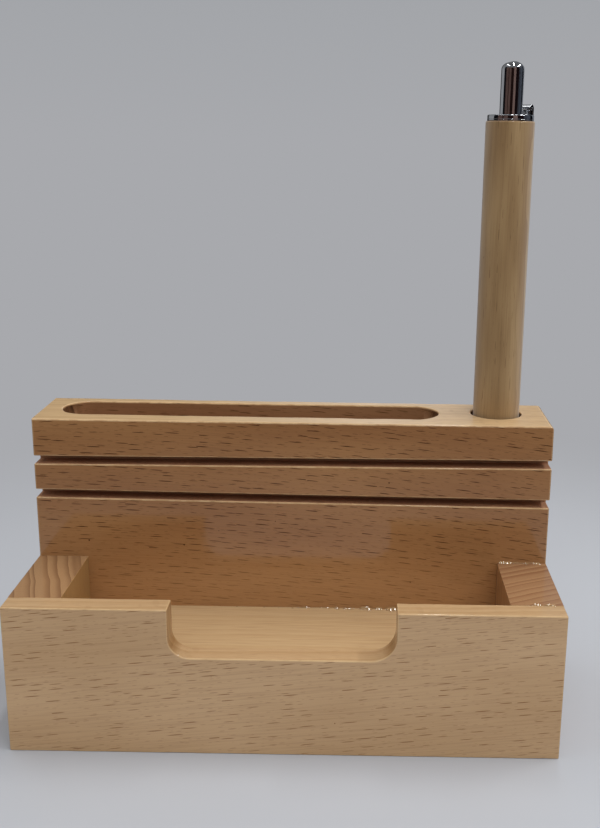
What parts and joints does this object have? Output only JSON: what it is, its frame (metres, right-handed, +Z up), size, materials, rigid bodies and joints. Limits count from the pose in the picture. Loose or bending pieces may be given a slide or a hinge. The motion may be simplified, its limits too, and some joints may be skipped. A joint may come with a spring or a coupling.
{
  "type": "pen stand",
  "caption": "Lacquered beech desk stand: card tray with finger notch, round-ended slot, saw kerfs and a hole that holds a wooden click pen with plated button and clip.",
  "frame": {"origin": "on the table, under the middle of the stand's width and depth", "axes": "+Z up, +X to the right as seen from the front, +Y towards the back block"},
  "size_m": [0.12, 0.05, 0.1475],
  "materials": {
    "beech": "clear satin lacquer over sanded beech",
    "dried_glue": "clear glossy dried wood glue",
    "pen_wood": "turned and waxed",
    "brass": "turned",
    "chrome_plate": "polished plating",
    "moulded_white": "moulded acetal",
    "moulded_blue": "moulded acetal",
    "refill_plastic": "extruded polypropylene",
    "ink": "thick oil ink",
    "nickel_silver": "turned nickel silver",
    "spring_steel": "drawn steel wire"
  },
  "bodies": {
    "stand": {"back_block": "beech", "front_panel": "beech", "left_end_block": "beech", "right_end_block": "beech", "tray_floor": "beech", "glue_beads": "dried_glue"},
    "pen": {"pen_barrel": "pen_wood", "nose_bush": "brass", "nose_cone": "chrome_plate", "clip_washer": "chrome_plate", "clip_collar": "chrome_plate", "guide_sleeve": "moulded_white", "return_spring": "spring_steel"},
    "clip": {"clip_arm": "chrome_plate"},
    "button": {"click_button": "chrome_plate", "plunger_crown": "moulded_white"},
    "refill": {"refill_tube": "refill_plastic", "ink_column": "ink", "refill_tip": "nickel_silver", "writing_ball": "spring_steel"},
    "rotor": {"rotor_cam": "moulded_blue"}
  },
  "joints": [
    {"name": "pen_lift", "type": "slide", "parent": "stand", "child": "pen", "axis": [0, 0, 1], "range_m": [0, 0.065]},
    {"name": "button_press", "type": "slide", "parent": "pen", "child": "button", "axis": [0, 0, -1], "range_m": [0, 0.0055], "stiffness_N_per_m": 300, "springref_m": -0.006},
    {"name": "refill_advance", "type": "slide", "parent": "pen", "child": "refill", "axis": [0, 0, -1], "range_m": [0, 0.0055], "deforming": ["return_spring"]},
    {"name": "rotor_turn", "type": "hinge", "parent": "refill", "child": "rotor", "pos_m": [0.048, 0.0168, 0.112], "axis": [0, 0, 1], "range_deg": [0, 45]},
    {"name": "clip_flex", "type": "hinge", "parent": "pen", "child": "clip", "pos_m": [0.05158, 0.02192, 0.1375], "axis": [0.8192, -0.5736, 0], "range_deg": [0, 4], "stiffness_Nm_per_rad": 1.2, "springref_deg": -1.72}
  ],
  "couplings": [
    {"joint": "refill_advance", "follows": "button_press", "ratio": 1},
    {"joint": "rotor_turn", "follows": "button_press", "rad_per_m": 142.79}
  ]
}
